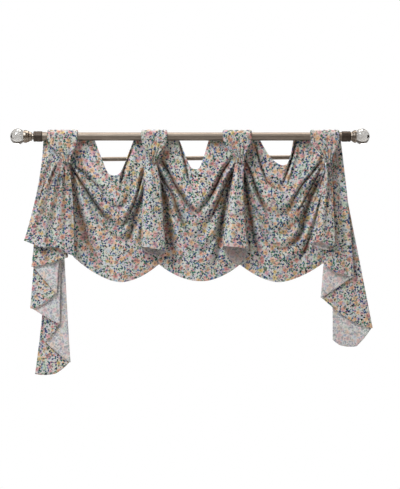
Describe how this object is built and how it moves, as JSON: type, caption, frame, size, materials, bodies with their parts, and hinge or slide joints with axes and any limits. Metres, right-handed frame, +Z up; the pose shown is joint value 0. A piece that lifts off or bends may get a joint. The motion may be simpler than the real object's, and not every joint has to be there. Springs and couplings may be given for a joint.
{
  "type": "window swag with double curtain rod",
  "caption": "Printed cotton window swag with draped scoops, flared horns and end cascades, hung by loops on a front rod, with a thinner rod behind.",
  "frame": {"origin": "on the wall plane, midway between the two wall plates, at the height of the front rod's axis", "axes": "+X along the rods towards the right seen from the room, +Y into the wall, +Z up"},
  "size_m": [1.1279, 0.1737, 0.7639],
  "materials": {
    "printed_cotton": "matt, small all-over flower print, paler on the wrong side",
    "brushed_nickel": "brushed, warm grey",
    "dark_bronze": "satin dark brown",
    "clear_glass": "clear, polished"
  },
  "bodies": {
    "root": {"scoop_left": "printed_cotton", "scoop_middle": "printed_cotton", "scoop_right": "printed_cotton", "horn_left": "printed_cotton", "horn_right": "printed_cotton", "cascade_left": "printed_cotton", "cascade_right": "printed_cotton", "loop_1": "printed_cotton", "loop_2": "printed_cotton", "loop_3": "printed_cotton", "loop_4": "printed_cotton", "front_rod": "brushed_nickel", "back_rod": "brushed_nickel", "wall_plate_left": "dark_bronze", "wall_plate_right": "dark_bronze", "bracket_arm_left": "dark_bronze", "bracket_arm_right": "dark_bronze", "rod_collar_left": "dark_bronze", "rod_collar_right": "dark_bronze", "back_rod_hanger_left": "dark_bronze", "back_rod_hanger_right": "dark_bronze", "back_rod_cradle_left": "brushed_nickel", "back_rod_cradle_right": "brushed_nickel", "finial_cup_left": "brushed_nickel", "finial_cup_right": "brushed_nickel", "glass_knob_left": "clear_glass", "glass_knob_right": "clear_glass"}
  },
  "joints": []
}
